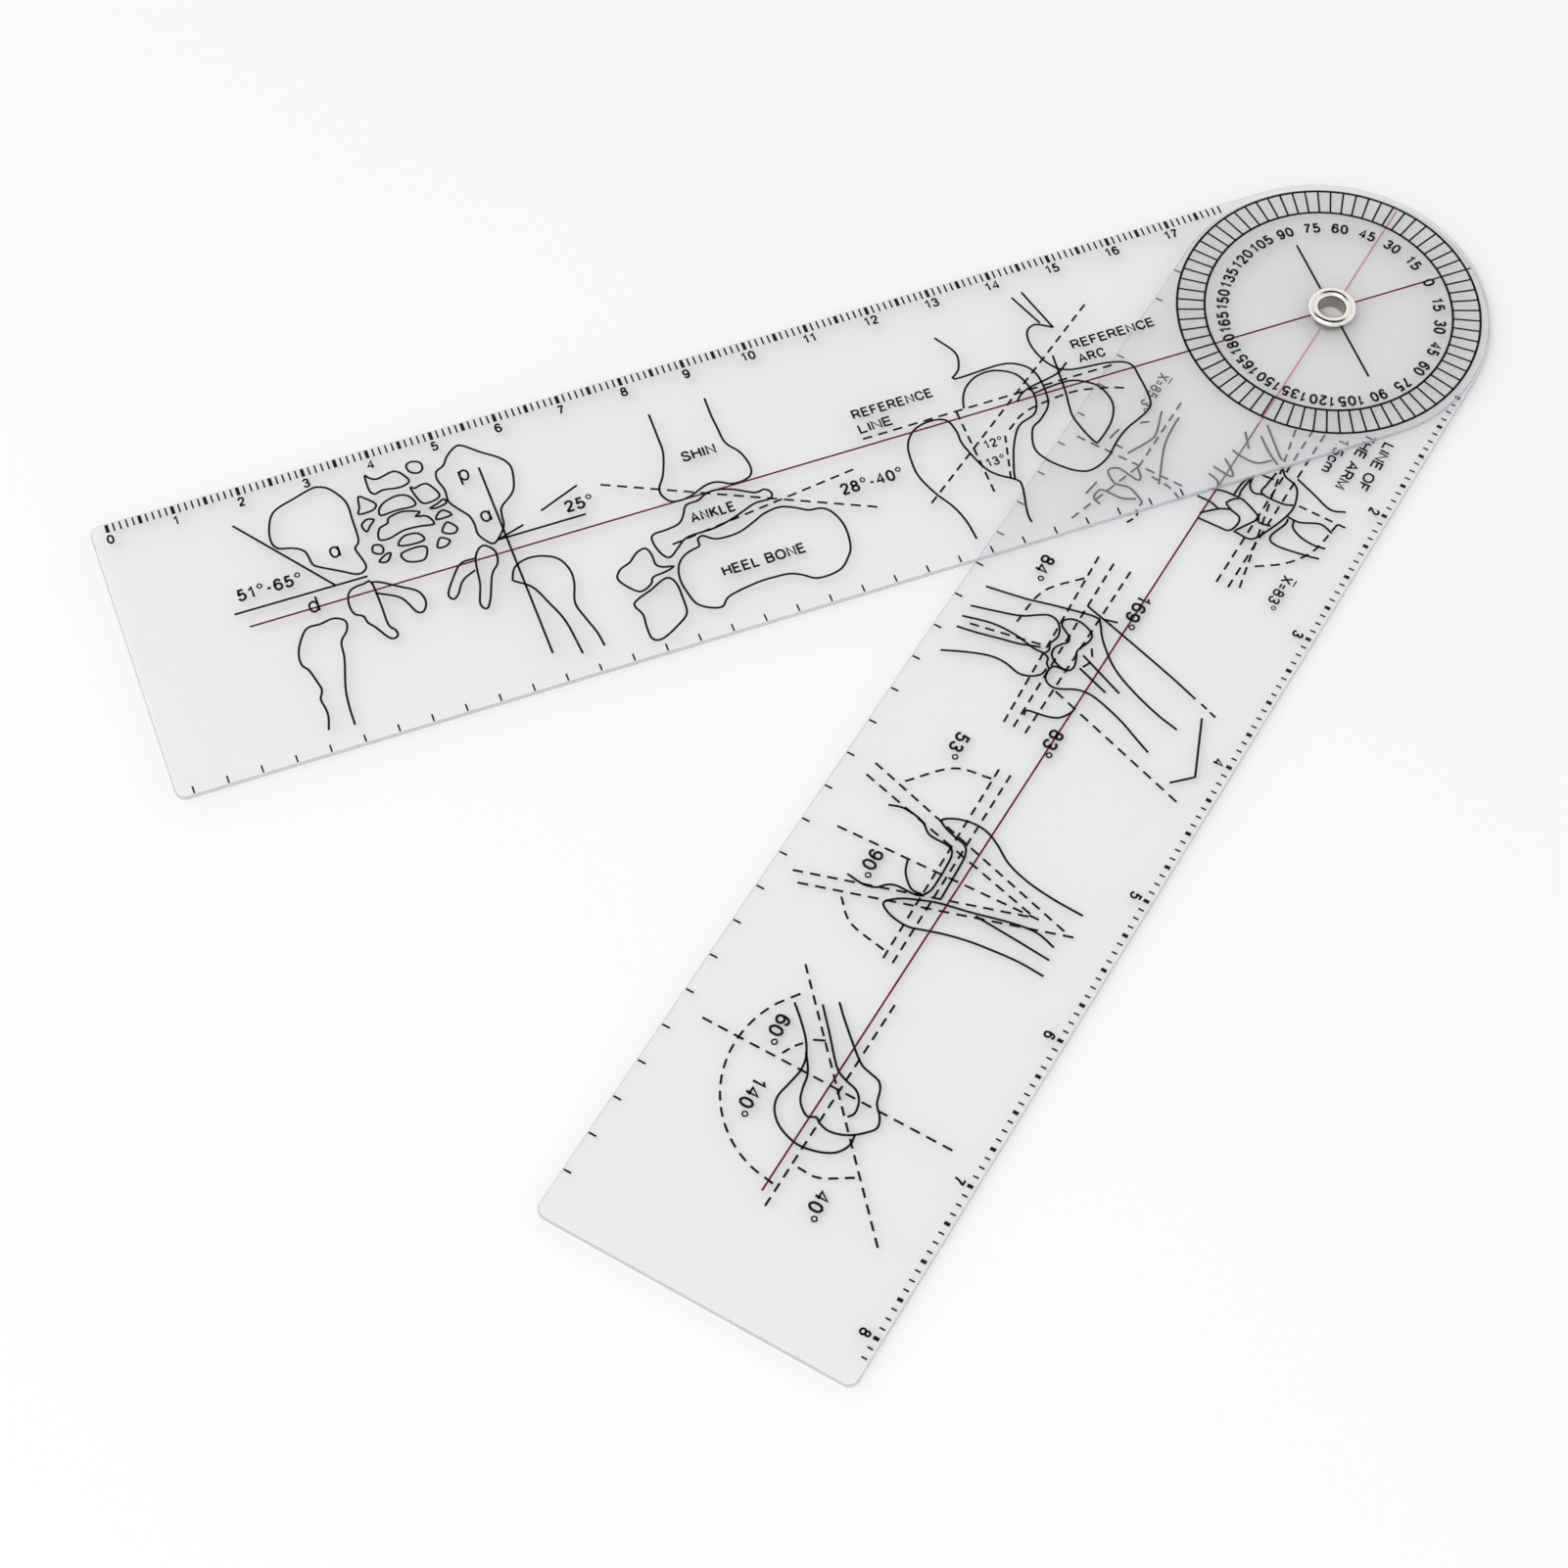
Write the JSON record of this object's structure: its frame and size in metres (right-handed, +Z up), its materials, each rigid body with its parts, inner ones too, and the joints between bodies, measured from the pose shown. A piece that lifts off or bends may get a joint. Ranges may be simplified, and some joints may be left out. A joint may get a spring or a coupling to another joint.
{
  "type": "goniometer",
  "caption": "Clear plastic full-circle goniometer: flat ruler arms with round heads that turn on a metal eyelet, for reading the angle of a joint.",
  "frame": {"origin": "middle of the footprint, on the surface that the goniometer lies on", "axes": "+X along the stationary arm, from its square end to its head; +Z up, out of the printed faces"},
  "size_m": [0.2146, 0.164, 0.0032],
  "materials": {
    "clear_sheet": "glossy clear sheet with a slight grey tint",
    "eyelet_metal": "polished nickel plate, slightly warm",
    "black_ink": "black screen print",
    "red_ink": "thin red screen print"
  },
  "bodies": {
    "stationary_arm": {"stationary_arm": "clear_sheet", "pivot_eyelet": "eyelet_metal"},
    "moving_arm": {"moving_arm": "clear_sheet"}
  },
  "joints": [
    {"name": "arm_pivot", "type": "hinge", "parent": "stationary_arm", "child": "moving_arm", "pos_m": [0.08295, 0.05729, 0.0009], "axis": [0, 0, 1], "continuous": true}
  ]
}
